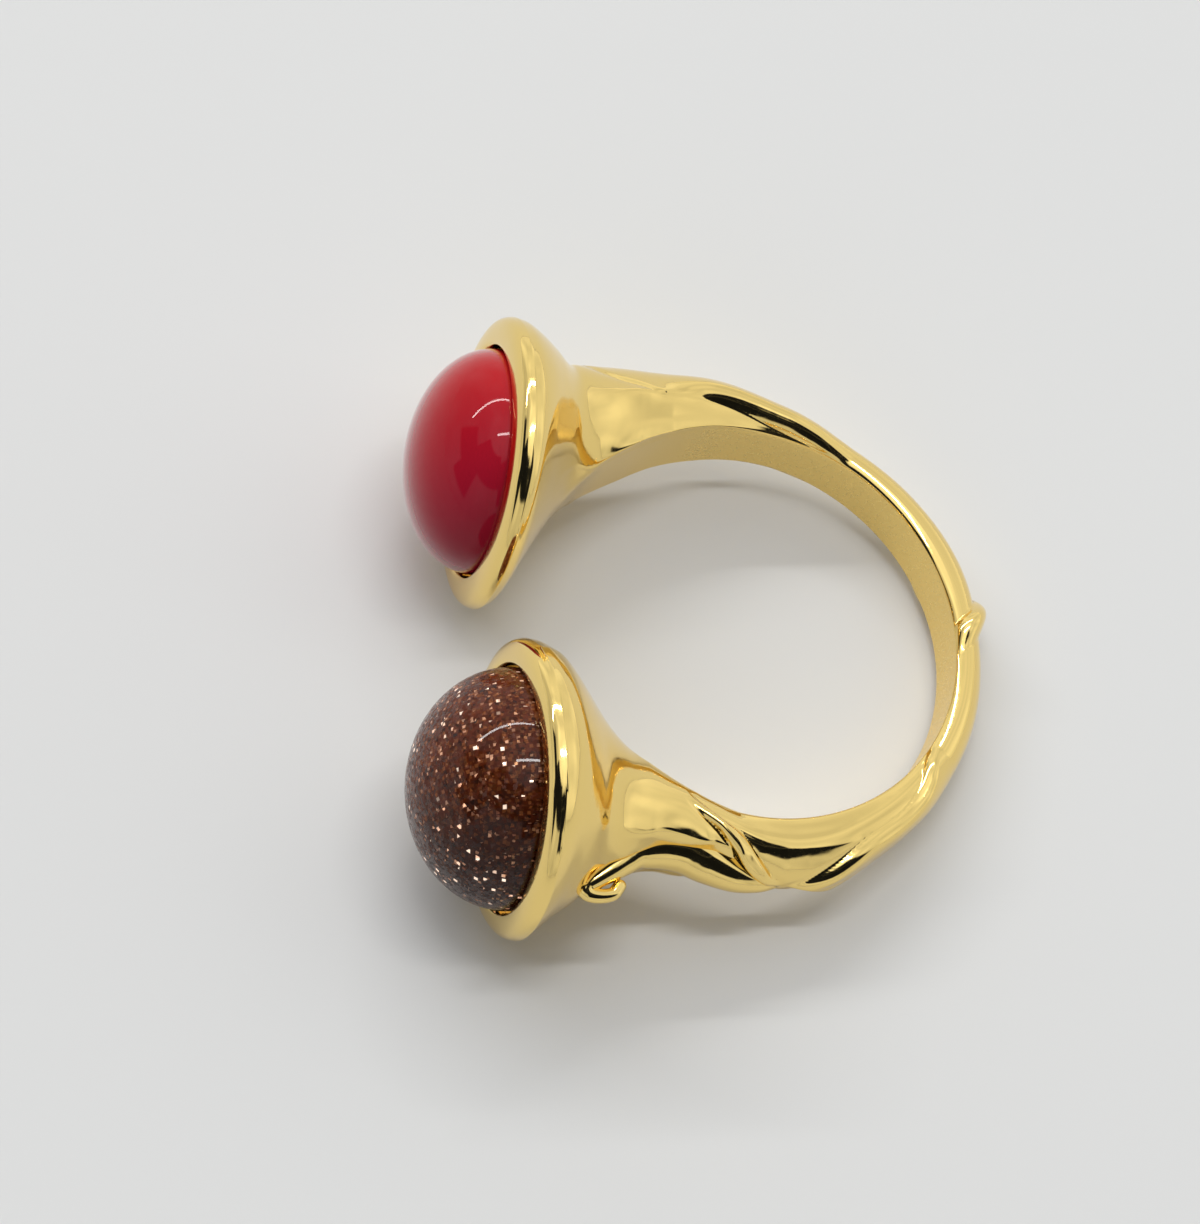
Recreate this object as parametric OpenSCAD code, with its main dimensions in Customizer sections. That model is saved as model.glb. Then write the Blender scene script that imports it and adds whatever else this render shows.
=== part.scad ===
// Adjustable ring lying on its side: a gold casting open at the front, with a
// flared cup at each end of the band and a round polished stone set in each cup.
// The ring's own frame has the finger hole on its Z axis, the back of the band
// toward +X and both cups toward -X. The whole ring is then tipped about Y, so
// that it rests on the lower edges of both cups and on the back of the band.

/* [Finger hole] */
// Radius of the round finger hole
hole_r = 8.4; // [8.2:0.05:8.6]
// Angle by which the cup side is raised when the ring lies on its side
rest_tilt = 12.3; // [11.9:0.1:12.7]

/* [Cups] */
// Widest radius of each cup, at its rounded lip
rim_r = 5.82; // [5.7:0.02:5.9]
// Radius of the round seat in the upper cup
upper_seat_r = 4.58; // [4.4:0.02:4.7]
// Radius of the round seat in the lower cup
lower_seat_r = 4.78; // [4.6:0.02:4.85]
// Depth of both seats behind the plane of the lip
seat_depth = 0.85; // [0.7:0.05:0.95]
// Distance of the cup planes in front of the hole's centre
cup_reach = 10.38; // [10.3:0.02:10.5]
// Sideways distance of the upper cup from the middle of the ring
upper_cup_y = 6.78; // [6.6:0.02:7]
// Sideways distance of the lower cup from the middle of the ring
lower_cup_y = 7.28; // [7.1:0.02:7.4]
// Outward turn of the upper cup
upper_fan = 4; // [2:0.5:5]
// Outward turn of the lower cup
lower_fan = 1.5; // [0:0.5:3]

/* [Stones] */
// Height of the red dome above the lip plane
red_dome = 3.0; // [2.8:0.05:3.2]
// Height of the goldstone dome above the lip plane
gold_dome = 3.9; // [3.7:0.05:4.1]
// Clearance between a stone's edge and its seat
stone_gap = 0.12; // [0.1:0.01:0.2]

/* [Strands] */
// Depth of the grooves between the twisted strands
groove_depth = 0.24; // [0.12:0.02:0.3]
// Height of the wrapped collar at the back of the band
collar_h = 0.42; // [0.3:0.02:0.5]
// Radius of the round knob at the end of the tendril
knob_r = 0.36; // [0.32:0.02:0.4]

/* [Hidden] */
gold = [0.88, 0.72, 0.36];
ring_pts = 40;
// How far the skin's inside lies within the hole before the hole is cut true.
gap_under = 0.06;
// Gap between a stone's foot and the floor of its seat.
floor_gap = 0.05;
// The tendril's hook: middle of its curl as distances toward the cups, away from
// the middle and up, its bend radius and its wire radius.
hook_at = [7.12, 11.08, 0.35];
hook_r = 0.46;
hook_wire_r = 0.29;
// The collar: turn of its middle, half width, and slant in degrees for a degree.
collar_turn = 8.6;
collar_half = 5.2;
collar_slant = 0.09;

// Columns: turn of the inner line, its distance from the hole's centre beyond the
// hole radius on the upper arm and on the lower arm, turn of the outer line,
// thickness on the upper and on the lower arm, half width, fullness of the inside
// (1 is a full ellipse, less is an ellipse cut flat by the hole).
ARM = [
    [0, 0, 0, 0, 1.33, 1.33, 1.30, 0.45],
    [20, 0, 0, 20, 1.50, 1.38, 1.30, 0.46],
    [40, 0, 0, 40, 1.42, 1.47, 1.32, 0.48],
    [60, 0, 0, 60, 1.37, 1.70, 1.36, 0.50],
    [79, 0, 0, 78, 1.68, 2.30, 1.46, 0.58],
    [96, 0, 0, 93, 2.42, 2.34, 1.62, 0.66],
    [111, 0, 0, 105, 3.08, 2.05, 1.88, 0.72],
    [124, 0.07, 0, 115, 3.90, 2.56, 2.22, 0.78],
    [135, 0.28, 0.06, 121, 4.50, 3.94, 2.75, 0.88]
];

// The flare behind each lip. Columns: distance behind the lip plane, reach from
// the cup's axis away from the middle, reach toward the middle, half width.
UPPER_FLARE = [
    [3.0, 4.40, 1.80, 3.30],
    [2.2, 5.00, 3.05, 4.20],
    [1.5, 5.40, 4.30, 5.05],
    [0.8, 5.70, 5.45, 5.65],
    [0.15, rim_r, rim_r, rim_r]
];
LOWER_FLARE = [
    [3.0, 3.90, 3.32, 3.60],
    [2.2, 4.50, 4.55, 4.50],
    [1.5, 4.95, 5.35, 5.25],
    [0.8, 5.45, 5.75, 5.70],
    [0.15, rim_r, rim_r, rim_r]
];

// The lip from its widest line into the seat. Columns: distance behind the lip
// plane, distance inside the widest radius as a share of the lip's width.
LIP = [[-0.04, 0.12], [-0.16, 0.34], [-0.17, 0.58], [-0.09, 0.80], [0.03, 0.95], [0.16, 1]];

// Edges of the strands. Columns: turn along the arm, section angle of the edge
// (0 is outermost, 90 is the top), share of the groove depth.
UPPER_WRAP = [[62, 126, 0], [70, 117, 0.5], [76, 112, 0.8], [83, 104, 1], [90, 91, 1],
    [101, 80, 0.7], [108, 74, 0.7], [114, 54, 0.8], [120, 30, 0.6], [125, 12, 0]];
LOWER_WRAP = [[36, 126, 0], [41, 112, 0.6], [47, 84, 0.9], [52, 68, 0.9], [58, 60, 0.9],
    [66, 58, 0.9], [72, 50, 1], [78, 34, 1], [84, 12, 0.7], [88, 0, 0]];
CROSS_BACK = [[87.5, 0, 0], [90, 15, 0.8], [93, 38, 0.9], [98, 80, 1], [104, 102, 0.8],
    [109, 116, 0.5], [112, 122, 0]];
CROSS_FRONT = [[92, 0, 0.3], [98, 28, 1], [103, 60, 1], [106, 75, 0.9], [109, 89, 0.8],
    [115, 115, 0.5], [118, 122, 0]];
TENDRIL = [[93, 6, 0.3], [98, 14, 0.9], [107, 26, 1], [111, 34, 1], [116, 40, 1], [119, 41, 0.9],
    [122, 34, 0.4], [124, 28, 0]];
// Height beside an edge, as a share of the groove depth. Columns: points counted
// from the edge toward the outside of the section, height.
OVER = [[-4, 0], [-3, -0.15], [-2, -0.4], [-1, -0.7], [0, -1], [1, 0.1], [2, 0.35], [4, 0.2], [6, 0]];
BACK_SIDE = [[-3, 0], [-2, -0.3], [-1, -0.6], [0, -1], [1, 0.05], [2, 0.4], [3, 0.3], [4, 0]];
FRONT_SIDE = [[-3, 0], [-2, 0.4], [-1, 0.05], [0, -1.3], [1, -0.8], [2, -0.35], [3, -0.1], [4, 0]];
ALONG = [[-4, 0], [-3, -0.15], [-2, -0.45], [-1, -0.85], [0, -1.3], [1, 0], [2, 0.35], [4, 0.3],
    [7, 0]];
// The wrapped collar. Columns: share of its half width, share of its height.
COLLAR = [[-1.12, 0], [-1, 0.3], [-0.8, 0.8], [-0.4, 1], [0, 1.06], [0.4, 1], [0.8, 0.8], [1, 0.3],
    [1.12, 0]];

// Smooth curve through the rows of a table, at a fractional row number.
function smooth_row(t, k) =
    let (n = len(t), i = min(max(floor(k), 0), n - 2), f = k - i, b = t[i], c = t[i + 1],
        a = i > 0 ? t[i - 1] : 2 * b - c, d = i < n - 2 ? t[i + 2] : 2 * c - b)
    b + 0.5 * f * ((c - a) + f * ((2 * a - 5 * b + 4 * c - d) + f * (3 * (b - c) + d - a)));
function turned(a, r) = [r * cos(a), r * sin(a)];
function flared(f, cy, fan) =
    let (ahead = [-cos(fan), sin(fan)], out = [sin(fan), cos(fan)],
        c = [-cup_reach, cy] - ahead * f[0], inner = c - out * f[2], outer = c + out * f[1])
    [atan2(inner[1], inner[0]), norm(inner), atan2(outer[1], outer[0]), norm(outer), f[3], 1];
upper_rows = concat(
    [for (r = ARM) [r[0], hole_r + r[1], r[3], hole_r + r[4], r[6], r[7]]],
    [for (f = UPPER_FLARE) flared(f, upper_cup_y, upper_fan)]);
lower_rows = concat(
    [for (r = ARM) [r[0], hole_r + r[2], r[3], hole_r + r[5], r[6], r[7]]],
    [for (f = LOWER_FLARE) flared(f, lower_cup_y, lower_fan)]);
last_row = len(upper_rows) - 1;
rows = concat(
    [for (i = [last_row:-1:1]) let (r = lower_rows[i]) [-r[0], r[1], -r[2], r[3], r[4], r[5]]],
    upper_rows);
// Turn of every ring of points: close together where a strand crosses steeply, and
// one ring on each line of the collar.
ring_turns = concat(
    [for (k = [0:0.5:5]) smooth_row(rows, k)[2]],
    [for (t = [-119.5:1.5:-103]) t],
    [for (t = [-102:1:-88]) t],
    [for (t = [-86:2:-72]) t],
    [for (t = [-69:3:-50]) t],
    [for (t = [-46.5:1.8:-36]) t],
    [for (t = [-33:6:-3]) t],
    [for (c = COLLAR) collar_turn + collar_half * c[0]],
    [for (t = [19:6:61]) t],
    [for (t = [64:2.6:108]) t],
    [for (t = [109.5:1.6:119.5]) t],
    [for (k = [2 * last_row - 5:0.5:2 * last_row]) smooth_row(rows, k)[2]]);
turn_rows = [for (k = [0:0.125:2 * last_row]) [smooth_row(rows, k)[2], k]];
// Rings near the collar lean with it.
function lean(turn) =
    let (off = abs(turn - collar_turn) - 6)
    off <= 0 ? 1 : off >= 26 ? 0 : (1 + cos(180 * off / 26)) / 2;

// Section angle of point j: three quarters of the points go over the outside from
// the upper edge of the finger surface to its lower edge, the rest lie along it.
outer_pts = floor(ring_pts * 0.75);
inner_pts = ring_pts - outer_pts;
function edge_angle(full) = full < 0.88 ? acos(-full) : 151.6 - 16.6 * (full - 0.88) / 0.12;
function section_angle(j, edge) =
    j <= outer_pts ? edge * (1 - 2 * j / outer_pts)
    : -edge - (360 - 2 * edge) * (j - outer_pts) / inner_pts;

// The point of a ring that an edge runs through is moved onto the edge. A value of
// -99 says that the edge doesn't reach this ring.
function at_turn(t, s, col) = lookup(s, [for (r = t) [r[0], r[col]]]);
function star(t, s, edge) =
    s < t[0][0] || s > t[len(t) - 1][0] ? -99
    : round((edge - at_turn(t, s, 1)) * outer_pts / 2 / edge);
function beside(t, shape, s, j, edge) =
    let (at = star(t, s, edge)) at < 0 ? 0 : at_turn(t, s, 2) * lookup(j - at, shape);
function edges_of(turn) = turn > 0 ? [UPPER_WRAP] : [LOWER_WRAP, CROSS_BACK, CROSS_FRONT, TENDRIL];
function lowest_highest(l) = min(l) + max(concat([0], l)) * (min(l) < -0.02 ? 0 : 1);
function height(turn, j, edge) =
    let (s = abs(turn))
    turn > 0 ? beside(UPPER_WRAP, OVER, s, j, edge)
    : lowest_highest([0, beside(LOWER_WRAP, OVER, s, j, edge),
        beside(CROSS_BACK, BACK_SIDE, s, j, edge), beside(CROSS_FRONT, FRONT_SIDE, s, j, edge),
        beside(TENDRIL, ALONG, s, j, edge)]);
function collar(turn) = lookup((turn - collar_turn) / collar_half, COLLAR) * collar_h;
function moved_angle(turn, j, edge, v) =
    let (hit = [for (t = edges_of(turn)) if (star(t, abs(turn), edge) == j) at_turn(t, abs(turn), 1)])
    len(hit) > 0 ? sign(v) * hit[0] : v;

function band_ring(turn) =
    [for (j = [0:ring_pts - 1])
        let (level = smooth_row(rows, lookup(turn, turn_rows)),
            even = section_angle(j, edge_angle(min(level[5], 1))),
            r = smooth_row(rows, lookup(turn - collar_slant * even * lean(turn), turn_rows)),
            inner = turned(r[0], r[1]), outer = turned(r[2], r[3]), reach = norm(outer - inner),
            out = (outer - inner) / reach, full = min(r[5], 1), a = reach / (1 + full), b = r[4],
            c = inner + out * full * a, edge = edge_angle(full), flat = j >= outer_pts || j == 0,
            mirror_j = min(j, outer_pts - j), v = flat ? section_angle(j, edge)
                : moved_angle(turn, mirror_j, edge, section_angle(j, edge)),
            up = flat ? 0 : groove_depth * height(turn, mirror_j, edge) + collar(turn),
            steep = norm([cos(v) / a, sin(v) / b]),
            cut = r[1] < hole_r + 0.05 ? r[1] - hole_r + gap_under : 0,
            n = flat ? max(a * cos(v), -full * a) - cut
                : max(a * cos(v) + up * cos(v) / a / steep, 0.04 - full * a))
        [c[0] + out[0] * n, c[1] + out[1] * n, b * sin(v) + up * sin(v) / b / steep]];

// Rings round a cup's own axis, for the lip and the seat.
function cup_centre(side, cy, fan, back) =
    [-cup_reach + cos(fan) * back, side * (cy - sin(fan) * back), 0];
function cup_ring(side, cy, fan, back, radius) =
    let (c = cup_centre(side, cy, fan, back), edge = edge_angle(1))
    [for (j = [0:ring_pts - 1])
        let (v = section_angle(j, edge), n = radius * cos(v))
        [c[0] + sin(fan) * n, c[1] + side * cos(fan) * n, radius * sin(v)]];
function lip_rings(side, seat, cy, fan) = concat(
    [for (l = LIP) cup_ring(side, cy, fan, l[0], rim_r - l[1] * (rim_r - seat))],
    [cup_ring(side, cy, fan, seat_depth, seat)]);
function reversed(l) = [for (i = [len(l) - 1:-1:0]) l[i]];

// The rings of the whole casting: seat floor, lip, flare and lower arm, round the
// back of the band, and up the other arm to the floor of the other seat.
casting = concat(
    reversed(lip_rings(-1, lower_seat_r, lower_cup_y, lower_fan)),
    [for (t = ring_turns) band_ring(t)],
    lip_rings(1, upper_seat_r, upper_cup_y, upper_fan));
n_rings = len(casting);
points = concat([for (ring = casting) for (p = ring) p],
    [cup_centre(-1, lower_cup_y, lower_fan, seat_depth),
    cup_centre(1, upper_cup_y, upper_fan, seat_depth)]);
// Each square between two rings is split along the way that the strands run.
first_turn = len(LIP) + 1;
function along(i, j) =
    let (turn = ring_turns[min(max(i - first_turn, 0), len(ring_turns) - 1)])
    (turn > 0 || turn < -88) == (j < outer_pts / 2);
faces = concat(
    [for (i = [0:n_rings - 2]) for (j = [0:ring_pts - 1])
        let (a = i * ring_pts + j, b = i * ring_pts + (j + 1) % ring_pts,
            c = a + ring_pts, d = b + ring_pts)
        for (f = along(i, j) ? [[a, c, d], [a, d, b]] : [[a, c, b], [b, c, d]]) f],
    [for (j = [0:ring_pts - 1]) [n_rings * ring_pts, j, (j + 1) % ring_pts]],
    [for (j = [0:ring_pts - 1]) [n_rings * ring_pts + 1,
        (n_rings - 1) * ring_pts + (j + 1) % ring_pts, (n_rings - 1) * ring_pts + j]]);

// The tipped ring is moved so that the middle of its box's bottom is the origin.
function dome_front(fan, seat, dome) =
    let (c = cos(rest_tilt) * cos(fan), r = seat - stone_gap)
    -cup_reach * cos(rest_tilt) - norm([dome * c, r * sqrt(1 - c * c)]);
tipped_points = [for (ring = casting) for (p = ring)
    [p[0] * cos(rest_tilt) + p[2] * sin(rest_tilt), p[1],
        p[2] * cos(rest_tilt) - p[0] * sin(rest_tilt)]];
x_front = min(dome_front(upper_fan, upper_seat_r, red_dome),
    dome_front(lower_fan, lower_seat_r, gold_dome));
x_back = max([for (p = tipped_points) p[0]]);
y_span = [for (p = tipped_points) p[1]];
z_low = min([for (p = tipped_points) p[2]]);
module tipped() {
    translate([-(x_front + x_back) / 2, -(min(y_span) + max(y_span)) / 2, -z_low])
        rotate([0, rest_tilt, 0])
            children();
}

// The tendril ends beside the lower cup in a small hook with a round knob.
module hook() {
    translate([-hook_at[0], -hook_at[1], hook_at[2]]) {
        rotate([0, 0, 150])
            rotate_extrude(angle = 230, $fn = 48)
                translate([hook_r, 0])
                    circle(r = hook_wire_r, $fn = 24);
        rotate([0, 0, 20])
            translate([hook_r, 0, 0])
                sphere(r = knob_r, $fn = 32);
    }
}

module band() {
    color(gold)
        tipped()
            difference() {
                union() {
                    polyhedron(points = points, faces = faces, convexity = 6);
                    hook();
                }
                cylinder(r = hole_r, h = 6, center = true, $fn = 180);
            }
}

// A cabochon: half an ellipsoid on a short straight edge that sits in the seat.
module cabochon(side, cy, fan, seat, dome) {
    r = seat - stone_gap;
    translate([-cup_reach, side * cy, 0])
        rotate([0, 0, -side * fan])
            rotate([0, -90, 0])
                rotate_extrude($fn = 120)
                    polygon(concat([[0, floor_gap - seat_depth], [r, floor_gap - seat_depth]],
                        [for (t = [0:5:90]) [r * cos(t), dome * sin(t)]]));
}

module red_stone() {
    color([0.62, 0.07, 0.14])
        tipped()
            cabochon(1, upper_cup_y, upper_fan, upper_seat_r, red_dome);
}

module goldstone() {
    color([0.32, 0.12, 0.09])
        tipped()
            cabochon(-1, lower_cup_y, lower_fan, lower_seat_r, gold_dome);
}

band();
red_stone();
goldstone();
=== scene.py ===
# Adjustable ring lying on its side: one gold-plated casting with two flared cups at its
# open front, a red cabochon in the upper cup and a goldstone cabochon in the lower one.
# Everything is in metres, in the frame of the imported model.
import math

import bpy
import numpy as np
from mathutils import Matrix, Vector


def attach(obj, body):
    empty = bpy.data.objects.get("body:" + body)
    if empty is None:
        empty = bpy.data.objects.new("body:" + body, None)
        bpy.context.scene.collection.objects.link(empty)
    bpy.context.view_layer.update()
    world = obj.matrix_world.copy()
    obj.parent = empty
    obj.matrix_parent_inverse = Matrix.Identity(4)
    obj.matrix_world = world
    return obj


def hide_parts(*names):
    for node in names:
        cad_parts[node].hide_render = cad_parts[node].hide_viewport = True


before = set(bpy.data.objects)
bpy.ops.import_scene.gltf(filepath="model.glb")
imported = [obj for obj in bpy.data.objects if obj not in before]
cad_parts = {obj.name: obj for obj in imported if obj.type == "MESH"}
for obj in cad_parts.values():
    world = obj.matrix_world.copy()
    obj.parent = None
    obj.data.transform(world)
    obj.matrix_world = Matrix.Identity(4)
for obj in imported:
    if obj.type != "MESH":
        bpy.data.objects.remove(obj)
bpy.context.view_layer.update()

# ---------------------------------------------------------------- Band
# One brass casting with bright gold plating, with a slanted collar at the back and a
# trumpet-shaped cup at each end. Its arms are modelled as strands laid over one another, and a
# thin tendril along the lower neck ends in a small hook. It carries the stones.
MM = 0.001
# Sizes are in millimetres and angles in degrees, on the ring stood up straight: X runs away
# from the cups, Y toward the upper cup and Z along the finger hole's axis, from the hole's
# centre. Where a value is given for both sides, 1 is the upper arm or cup and -1 the lower.
HOLE_R = 8.4
RIM_R = 5.80
CUP_REACH = 10.38
SEAT_DEPTH = 0.85
# Each cup's distance from the middle, its outward turn and the radius of its seat.
CUPS = {1: (6.78, 4.0, 4.58), -1: (7.28, 1.5, 4.78)}
# How the ring lies: the tip of the hole's axis, and the place of the hole's centre.
TILT = math.radians(12.3)
HOLE_CENTRE = np.array([2.05621, 0.25936, 3.54653])

# Columns: turn of the inner line, its distance beyond the hole's radius on the upper and on
# the lower arm, turn of the outer line, thickness on the upper and on the lower arm, half
# width, fullness of the inside (1 is a full ellipse, less is one cut flat by the hole).
ARM = np.array([
    [0, 0, 0, 0, 1.33, 1.33, 1.30, 0.45],
    [20, 0, 0, 20, 1.50, 1.38, 1.30, 0.46],
    [40, 0, 0, 40, 1.42, 1.47, 1.32, 0.48],
    [60, 0, 0, 60, 1.37, 1.70, 1.36, 0.50],
    [79, 0, 0, 78, 1.68, 2.30, 1.46, 0.58],
    [96, 0, 0, 93, 2.42, 2.34, 1.62, 0.66],
    [111, 0, 0, 105, 3.08, 2.05, 1.88, 0.72],
    [124, 0.07, 0, 115, 3.90, 2.56, 2.22, 0.78],
    [135, 0.28, 0.06, 121, 4.50, 3.94, 2.75, 0.88],
])
# The flare behind each lip. Columns: distance behind the lip plane, reach from the cup's axis
# away from the middle, reach toward the middle, half width.
FLARE = {
    1: np.array([
        [3.0, 4.40, 1.80, 3.30],
        [2.2, 5.00, 3.05, 4.20],
        [1.5, 5.40, 4.30, 5.05],
        [0.9, 5.70, 5.40, 5.62],
        [0.42, RIM_R, RIM_R, RIM_R],
    ]),
    -1: np.array([
        [3.0, 3.90, 3.32, 3.60],
        [2.2, 4.50, 4.55, 4.50],
        [1.5, 4.95, 5.35, 5.25],
        [0.9, 5.43, 5.70, 5.66],
        [0.42, RIM_R, RIM_R, RIM_R],
    ]),
}
# The lip from its widest line into the seat. Columns: distance behind the lip plane, distance
# inside the widest radius as a share of the lip's width. Its rings start a little past the
# first row, which is the last row of the flare.
LIP = np.array([[0.42, 0], [0.22, 0.04], [0.06, 0.12], [-0.05, 0.25], [-0.13, 0.43],
                [-0.18, 0.64], [-0.20, 0.83], [-0.17, 0.94], [-0.03, 0.995], [0.16, 1],
                [0.40, 1], [SEAT_DEPTH, 1]])
LIP_START, LIP_RINGS = 0.15, 44

# Edges of the strands. Columns: turn along the arm, section angle of the edge (0 is
# outermost, 90 is the top), share of the full depth.
UPPER_WRAP = np.array([[58, 128, 0], [63, 122, 0.3], [68, 119, 0.7], [74, 116, 1], [80, 110, 1],
                       [85, 103, 1], [90, 96, 1], [95, 91, 0.9], [99, 87, 0.6], [103, 84, 0.2],
                       [107, 82, 0]], float)
LOWER_WRAP = np.array([[36, 126, 0], [41, 112, 0.6], [47, 84, 0.9], [52, 68, 0.9], [58, 60, 0.9],
                       [66, 58, 0.9], [72, 50, 1], [78, 34, 1], [84, 12, 0.7], [88, 0, 0]], float)
CROSS_BACK = np.array([[87.5, 0, 0], [90, 15, 0.8], [93, 38, 0.9], [98, 80, 1], [103, 96, 0.7],
                       [107, 108, 0.3], [110, 116, 0]])
CROSS_FRONT = np.array([[92, 0, 0.3], [98, 24, 1], [101, 50, 1], [104, 70, 1], [107, 83, 0.9],
                        [109, 92, 0.5], [111, 102, 0]])
# Top of the lower arm's hollows, behind the crossing strand. Columns as above.
HOLLOW_TOP = np.array([[44, 96, 0], [52, 90, 0.5], [62, 84, 1], [74, 80, 1], [86, 79, 1],
                       [95, 84, 0.8], [101, 92, 0]], float)
# A thin seam on the upper neck, and sharp ridges on the lower neck and arm. Columns as above.
NECK_SEAM = np.array([[98, 89, 0], [102, 86, 0.7], [107, 84, 1], [111, 73, 1], [115, 62, 1],
                      [118, 48, 1], [120, 30, 0.6], [122, 12, 0]])
NECK_RIDGE = np.array([[105, 48, 0], [108.5, 44, 1], [112, 39, 1], [116, 41, 1], [119, 46, 1],
                       [122, 49, 0.6], [126, 54, 0]])
LEAF_RIDGE = np.array([[69, 60, 0], [73, 64, 0.8], [79, 68, 1], [85, 69, 1], [91, 65, 1],
                       [95, 58, 0.8], [98, 50, 0]])

# A strand's edge: the height and width of its round shoulder, the length over which its top
# falls back from there, how far the crease dips, and the dip's width on the strand and beside it.
SHOULDER_H, SHOULDER_W, SHOULDER_FALL = {1: 0.40, -1: 0.30}, {1: 0.66, -1: 0.55}, 1.1
DIP_H, DIP_W_ON, DIP_W_BESIDE = {1: 0.02, -1: 0.07}, 0.12, 0.45
# Depth of the seam with its width toward the outside and toward the finger hole, and height and
# width of each ridge.
SEAM_DEPTH, SEAM_W_OUT, SEAM_W_IN = 0.09, 0.08, 0.25
NECK_RIDGE_H, NECK_RIDGE_W = 0.12, 0.34
LEAF_RIDGE_H, LEAF_RIDGE_W = 0.03, 0.32
# Hollows between two lines: the depth as a multiple of what flattens a section of the given
# radius, the deepest one, and the share that the lower of the two hollows has.
HOLLOW_DEPTH, HOLLOW_R, HOLLOW_MOST, LOW_HOLLOW = 1.3, 1.5, 0.12, 0.45
# Facets: the lift of their sides as a share of what flattens a section of the given radius, the
# highest lift, and the length over which it dies away outside the facet.
FACET_LIFT, FACET_R, FACET_MOST, FACET_FADE = 0.8, 1.6, {1: 0.26, -1: 0.20}, 0.4
# Where the facets lie. Columns: first turn, last turn, turn over which they come and go.
UPPER_FACET = (62, 124, 12)
NECK_FACET = (97, 128, 10)
# How much more the upper facet's inner side is lifted, how much more the neck's facet is, and
# the section angle at which the neck's facet begins.
UPPER_STEEPER, NECK_STRONGER, NECK_FACET_LOW = 2.4, 1.5, 50
# The upper facet turned up toward the finger hole: where, its rise per millimetre from the
# strand's edge, and the width over which it rises.
TURNED_UP, TURNED_UP_RISE, TURNED_UP_W = (66, 104, 10), 0.20, 1.2
# The crossing strand: height, width of its round front edge, the power of its climb, how much
# sooner than its edges it is full, and the turn before which only its back edge counts.
CROSS_H, CROSS_W, CROSS_POWER, CROSS_SOONER, CROSS_START = 0.375, 0.48, 0.75, 1.4, 98
# How far the surface sinks at that strand's back and front edges. Columns: depth, width on the
# strand, width beside it.
CROSS_SUNK_BACK, CROSS_SUNK_FRONT = (0.14, 0.10, 0.50), (0.12, 0.05, 0.30)
# The collar: turn of its middle, half length, height, slant in degrees of turn per degree of
# section angle, where its top lies (1 is the middle, more is nearer the upper arm), and the
# power that rounds it.
COLLAR_TURN, COLLAR_HALF, COLLAR_H = 8.4, 4.6, 0.44
COLLAR_SLANT, COLLAR_TOP, COLLAR_POWER = 0.09, 1.7, 0.7
# Section angle over which strands, facets and collar die away toward the finger surface.
STRAND_FADE, FACET_EDGE_FADE, COLLAR_FADE = 10, 8, 50
# The tendril's middle line and radius. Columns: distance toward the cups, distance away from
# the middle, height above the band's middle plane, radius.
TENDRIL = np.array([
    [-0.2, 10.50, -0.20, 0.26],
    [0.6, 10.60, 0.00, 0.45],
    [1.5, 10.40, 0.10, 0.72],
    [2.6, 9.90, 0.18, 0.95],
    [3.5, 9.48, 0.25, 1.02],
    [4.4, 9.42, 0.30, 0.98],
    [5.5, 9.72, 0.42, 0.78],
    [6.1, 10.14, 0.45, 0.64],
    [6.7, 10.60, 0.46, 0.52],
    [7.3, 11.00, 0.42, 0.44],
    [7.75, 11.32, 0.38, 0.38],
    [7.62, 11.60, 0.32, 0.32],
    [7.15, 11.68, 0.32, 0.29],
    [6.66, 11.58, 0.34, 0.27],
    [6.36, 11.24, 0.36, 0.26],
])


def smooth_rows(table, place):
    """Points on the smooth curve through a table's rows at fractional row numbers: each stretch
    is the cubic whose slope at a row is half the step between that row's two neighbours."""
    n = len(table)
    i = np.clip(np.floor(place).astype(int), 0, n - 2)
    f = (place - i)[:, None]
    b, c = table[i], table[i + 1]
    a = np.where((i > 0)[:, None], table[np.maximum(i - 1, 0)], 2 * b - c)
    d = np.where((i < n - 2)[:, None], table[np.minimum(i + 2, n - 1)], 2 * c - b)
    return b + 0.5 * f * ((c - a) + f * ((2 * a - 5 * b + 4 * c - d) + f * (3 * (b - c) + d - a)))


def cup_level(level, side):
    """A flare row as an arm row: both ends of the section through the cup as turn and distance
    from the hole's centre."""
    across, fan = CUPS[side][0], math.radians(CUPS[side][1])
    ahead = np.array([-math.cos(fan), math.sin(fan)])
    out = np.array([math.sin(fan), math.cos(fan)])
    centre = np.array([-CUP_REACH, across]) - ahead * level[0]
    inner, outer = centre - out * level[2], centre + out * level[1]
    return [math.degrees(math.atan2(inner[1], inner[0])), math.hypot(*inner),
            math.degrees(math.atan2(outer[1], outer[0])), math.hypot(*outer), level[3], 1]


def arm_rows(side):
    """Rows from the middle of the back to the lip of one cup: turn and radius of the inner line,
    turn and radius of the outer line, half width, fullness."""
    extra, thick = (1, 4) if side > 0 else (2, 5)
    plain = [[r[0], HOLE_R + r[extra], r[3], HOLE_R + r[thick], r[6], r[7]] for r in ARM]
    rows = np.array(plain + [cup_level(level, side) for level in FLARE[side]])
    return rows * [side, 1, side, 1, 1, 1]


ROWS = np.vstack([arm_rows(-1)[:0:-1], arm_rows(1)])
# Points round a section, how many of them go over the outside, and how strongly those crowd
# toward the edges of the finger surface.
AROUND, OUTSIDE, CROWDING = 132, 100, 0.4
# Section angle of those edges at the fullness where the flat cut ends, and how far they move in
# until the section is a full ellipse.
CUT_ENDS, CUT_EDGE, EDGE_SHIFT = 0.88, 151.6, 16.6


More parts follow.
